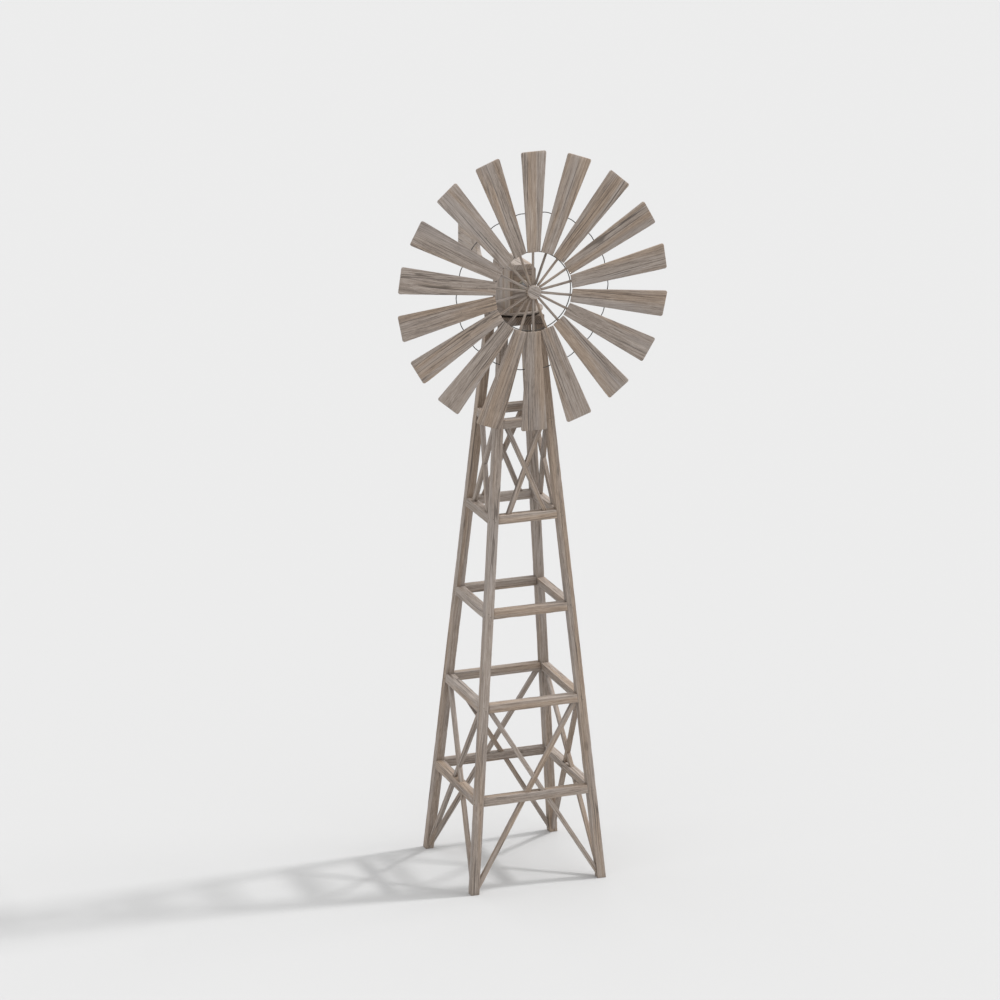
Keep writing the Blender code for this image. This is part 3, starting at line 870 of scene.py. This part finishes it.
def rod_mesh(bm, rotor, index, out):
    """One spoke: a slightly uneven round rod with a thin tenon at its inner end."""
    side = BACK.cross(out)
    seed = Vector([rng.uniform(-40, 40) for _ in range(3)])
    rows = []
    for distance, radius in rod_profile(rotor):
        row = []
        for k, turn in enumerate(around(ROD_SIDES)):
            uneven = noise.noise(Vector((distance * 60, k * 0.4, index)) + seed)
            swell = 1 - ROD_UNEVEN * (0.5 + 0.5 * uneven)
            offset = (BACK * math.cos(turn) + side * math.sin(turn)) * radius * swell
            row.append(bm.verts.new(rotor_point(0, 0, rotor["plane"]) + out * distance + offset))
        rows.append(row)
    bridge_all(bm, rows)
    bm.faces.new(list(reversed(rows[0])))
    bm.faces.new(rows[-1])
    return side


def build_spokes(rotor):
    for index, angle in enumerate(spoke_angles(rotor)):
        bm = bmesh.new()
        out = outward_at(angle)
        side = rod_mesh(bm, rotor, index, out)
        bmesh.ops.recalc_face_normals(bm, faces=bm.faces)
        # The rods on the right are given a darker, greyer tone
        darker = 0 < index < 8
        tone = rng.uniform(0.3, 0.6) - (0.2 if darker else 0.0)
        put_grain(bm, HUB, (side, BACK, out), tone, 0.15 if darker else 0.5)
        shown(f"spoke_{index + 1:02d}", bm, "rotor", timber, ("spoke_frame",))


def ring_wave(angle, bend):
    """How far a ring lies outside its circle, at an angle from the nearest spoke."""
    knee = RING_KNEE * math.cos(2 * BLADES * angle)
    return bend * (knee - RING_FLAT * math.cos(BLADES * angle))


def wire_loop(bm, centre, radius, wire, turn, bend, sides=10, steps=432):
    """A drawn wire bent into a circle, flatter behind each blade and more curved between two."""
    rows = []
    for angle in around(steps):
        out = outward_at(angle)
        wave = ring_wave(angle - turn, bend) + 0.0002 * math.sin(7 * angle + radius * 90)
        row = []
        for place in around(sides):
            point = rotor_point(0, 0, centre) + out * (radius + wave + wire * math.cos(place))
            row.append(bm.verts.new(point + BACK * wire * math.sin(place)))
        rows.append(row)
    bridge_all(bm, [*rows, rows[0]])


def build_rings(rotor):
    kinds = (("ring_inner", 0.0, ring_steel), ("ring_outer", 1.0, wire_steel))
    for (name, bend, metal), (radius, plane, wire) in zip(kinds, rotor["rings"]):
        bm = bmesh.new()
        wire_loop(bm, plane, radius, wire, rotor["turn"], bend)
        bmesh.ops.recalc_face_normals(bm, faces=bm.faces)
        put_grain(bm, HUB, (ACROSS, BACK, UP), 0.5)
        shown(name, bm, "rotor", metal, ("spoke_frame",))
        bm = bmesh.new()
        for angle in spoke_angles(rotor):
            staple(bm, rotor_point(radius + ring_wave(0, bend), angle, plane), angle, wire)
        bmesh.ops.recalc_face_normals(bm, faces=bm.faces)
        put_grain(bm, HUB, (ACROSS, BACK, UP), 0.5)
        shown(f"{name}_staples", bm, "rotor", metal, ("spoke_frame",))


def staple(bm, middle, angle, wire):
    """A small wire staple over a ring, its legs driven into the spoke from behind."""
    out = outward_at(angle)
    width = wire + STAPLE_WIRE
    driven = BACK * (wire + STAPLE_DRIVEN)
    crown = BACK * (wire + STAPLE_WIRE * 0.9)
    path = [
        middle - out * width - driven,
        middle - out * width + BACK * wire * 0.5,
        middle - out * width * 0.6 + crown,
        middle + out * width * 0.6 + crown,
        middle + out * width + BACK * wire * 0.5,
        middle + out * width - driven,
    ]
    side = BACK.cross(out)
    rows = []
    for i, point in enumerate(path):
        ahead = path[min(i + 1, len(path) - 1)] - path[max(i - 1, 0)]
        across = ahead.normalized().cross(side)
        row = []
        for turn in around(6):
            offset = (across * math.cos(turn) + side * math.sin(turn)) * STAPLE_WIRE
            row.append(bm.verts.new(point + offset))
        rows.append(row)
    bridge_all(bm, rows)
    bm.faces.new(rows[0])
    bm.faces.new(rows[-1])


def build_blades(rotor):
    look = {"checks": 2, "rounding": 0.0010, "depth": 0.0013, "pitch": 0.012, "groove": 0.0017}
    for index, angle in enumerate(spoke_angles(rotor)):
        cad_timber(f"blade_{index + 1:02d}", "rotor", outward_at(angle), **look)


def dome(bm, place, outward, radius, sides=10):
    """The rounded head of a nail or pin, its rim just below the surface that it holds down."""
    side = outward.orthogonal().normalized()
    other = outward.cross(side)
    rows = []
    for rise, share in ((-0.35, 1.0), (0.12, 1.0), (0.38, 0.86), (0.55, 0.55)):
        row = []
        for turn in around(sides):
            spoke = (side * math.cos(turn) + other * math.sin(turn)) * radius * share
            row.append(bm.verts.new(place + outward * radius * rise + spoke))
        rows.append(row)
    bridge_all(bm, rows)
    bm.faces.new(rows[0])
    bm.faces.new(rows[-1])


def show_pins(name, bm, body):
    bmesh.ops.recalc_face_normals(bm, faces=bm.faces)
    put_grain(bm, Vector((0, 0, 0)), (ACROSS, BACK, UP), 0.5)
    shown(name, bm, body, nail_steel)


def drive(bm, obj, start, direction, radius):
    """Set a nail's head where a ray first meets a piece, square to the surface there."""
    found, place, normal, _ = obj.ray_cast(start, direction, distance=2 * RAY_START)
    if found:
        dome(bm, place, normal, radius)


def build_blade_pins(rotor):
    """Each blade is pinned through its middle into the spoke behind it."""
    bm = bmesh.new()
    for index, angle in enumerate(spoke_angles(rotor)):
        blade = bpy.data.objects[f"blade_{index + 1:02d}_timber"]
        for radius in PIN_PLACES:
            ahead = rotor_point(radius, angle, rotor["plane"] - RAY_START)
            drive(bm, blade, ahead, BACK, PIN_RADIUS)
    show_pins("blade_pins", bm, "rotor")


def build_tower_nails():
    """Two nails through each leg into every rail's end, and one where two braces cross."""
    bm = bmesh.new()
    for corner, (x, y) in CORNERS.items():
        leg = bpy.data.objects[f"leg_{corner}_timber"]
        for level in RAIL_LEVELS:
            low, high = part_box(f"rail_{level}_front")
            middle = (low.z + high.z) / 2
            line = TOWER.y - (low.y + high.y) / 2
            for offset in (-RAIL_NAIL_OFFSET, RAIL_NAIL_OFFSET):
                across = Vector((x * line, TOWER.y + y * line + offset * 0.6, middle + offset))
                drive(bm, leg, across + ACROSS * x * RAY_START, -ACROSS * x, RAIL_NAIL)
                along = Vector((x * line + offset * 0.6, TOWER.y + y * line, middle - offset))
                drive(bm, leg, along + BACK * y * RAY_START, -BACK * y, RAIL_NAIL)
    for place in ("lower", "upper"):
        for side, outward in SIDES.items():
            low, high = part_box(f"cross_{place}_{side}")
            bar = bpy.data.objects[f"cross_{place}_{side}_falling"]
            centre = (low + high) / 2
            centre.z, _ = middle_and_half(v.co.z for v in bar.data.vertices)
            drive(bm, bar, centre + outward * RAY_START, -outward, BRACE_NAIL)
    show_pins("tower_nails", bm, "tower")


def build_rotor():
    rotor = read_rotor()
    build_spokes(rotor)
    build_rings(rotor)
    build_blades(rotor)
    build_blade_pins(rotor)
    cad_timber(
        "rotor_hub",
        "rotor",
        Vector((0.85, 0, -0.5)),
        checks=0,
        rounding=0.0003,
        amount=0.0001,
        chip=0.0002,
        pitch=0.006,
        tone=0.8,
    )


def finish_metal(node, material):
    """A carried-over metal node with its own coordinates for the material."""
    obj = frame["nodes"][node]
    mesh = obj.data
    layer = mesh.attributes.new("grain", "FLOAT_VECTOR", "POINT")
    for i, vert in enumerate(mesh.vertices):
        layer.data[i].vector = vert.co
    mesh.materials.clear()
    mesh.materials.append(material)


# Stage


def build_stage():
    bm = bmesh.new()
    bmesh.ops.create_grid(bm, x_segments=8, y_segments=8, size=FLOOR_SIZE)
    mesh = bpy.data.meshes.new("floor")
    bm.to_mesh(mesh)
    bm.free()
    floor = bpy.data.objects.new("floor", mesh)
    bpy.context.scene.collection.objects.link(floor)
    material = bpy.data.materials.new("plain_floor")
    material.use_nodes = True
    shader = material.node_tree.nodes["Principled BSDF"]
    shader.inputs["Base Color"].default_value = (FLOOR_ALBEDO,) * 3 + (1.0,)
    shader.inputs["Roughness"].default_value = 1.0
    shader.inputs["Specular IOR Level"].default_value = 0.0
    mesh.materials.append(material)


def build_light():
    level = KEY_LEVEL.normalized()
    towards = level * math.cos(KEY_ELEVATION) + UP * math.sin(KEY_ELEVATION)
    for name, energy, angle in KEYS:
        sun = bpy.data.lights.new(name, "SUN")
        sun.energy = energy
        sun.angle = angle
        obj = bpy.data.objects.new(sun.name, sun)
        bpy.context.scene.collection.objects.link(obj)
        obj.rotation_mode = "QUATERNION"
        obj.rotation_quaternion = towards.to_track_quat("Z", "Y")
    world = bpy.data.worlds.new("studio")
    world.use_nodes = True
    tree = world.node_tree
    tree.nodes.clear()
    place = tree.nodes.new("ShaderNodeTexCoord")
    split = tree.nodes.new("ShaderNodeSeparateXYZ")
    tree.links.new(place.outputs["Generated"], split.inputs[0])
    rise = tree.nodes.new("ShaderNodeMapRange")
    for socket, number in zip(rise.inputs[1:5], (0.0, 1.0, SKY_LOW, SKY_HIGH)):
        socket.default_value = number
    tree.links.new(split.outputs["Z"], rise.inputs[0])
    ambient = tree.nodes.new("ShaderNodeBackground")
    tree.links.new(rise.outputs[0], ambient.inputs["Strength"])
    seen = tree.nodes.new("ShaderNodeBackground")
    seen.inputs["Strength"].default_value = BACKDROP
    for shade in (ambient, seen):
        shade.inputs["Color"].default_value = (1, 1, 1, 1)
    path = tree.nodes.new("ShaderNodeLightPath")
    both = tree.nodes.new("ShaderNodeMixShader")
    out = tree.nodes.new("ShaderNodeOutputWorld")
    tree.links.new(path.outputs["Is Camera Ray"], both.inputs[0])
    tree.links.new(ambient.outputs[0], both.inputs[1])
    tree.links.new(seen.outputs[0], both.inputs[2])
    tree.links.new(both.outputs[0], out.inputs["Surface"])
    bpy.context.scene.world = world
    bpy.context.scene.view_settings.view_transform = "Standard"


def build_camera():
    turn_x, turn_y = math.cos(CAMERA_AZIMUTH), math.sin(CAMERA_AZIMUTH)
    level = math.cos(CAMERA_ELEVATION)
    back = Vector((turn_y * level, -turn_x * level, math.sin(CAMERA_ELEVATION)))
    right = Vector((turn_x, turn_y, 0))
    up = back.cross(right)
    target = TOWER + UP * TARGET_HEIGHT - right * TARGET_LEFT
    data = bpy.data.cameras.new("camera")
    data.lens = CAMERA_LENS
    data.sensor_width = CAMERA_SENSOR
    data.clip_end = CAMERA_REACH
    camera = bpy.data.objects.new("camera", data)
    bpy.context.scene.collection.objects.link(camera)
    place = Matrix((right, up, back)).transposed().to_4x4()
    place.translation = target + back * CAMERA_DISTANCE
    camera.matrix_world = place
    bpy.context.scene.camera = camera


build_camera()
build_light()
build_stage()
build_tower()
build_head()
build_rotor()
finish_metal("king_pin", galvanised)
finish_metal("rotor_shaft", galvanised)
finish_metal("bearing_tube", bronze)

bpy.context.view_layer.update()
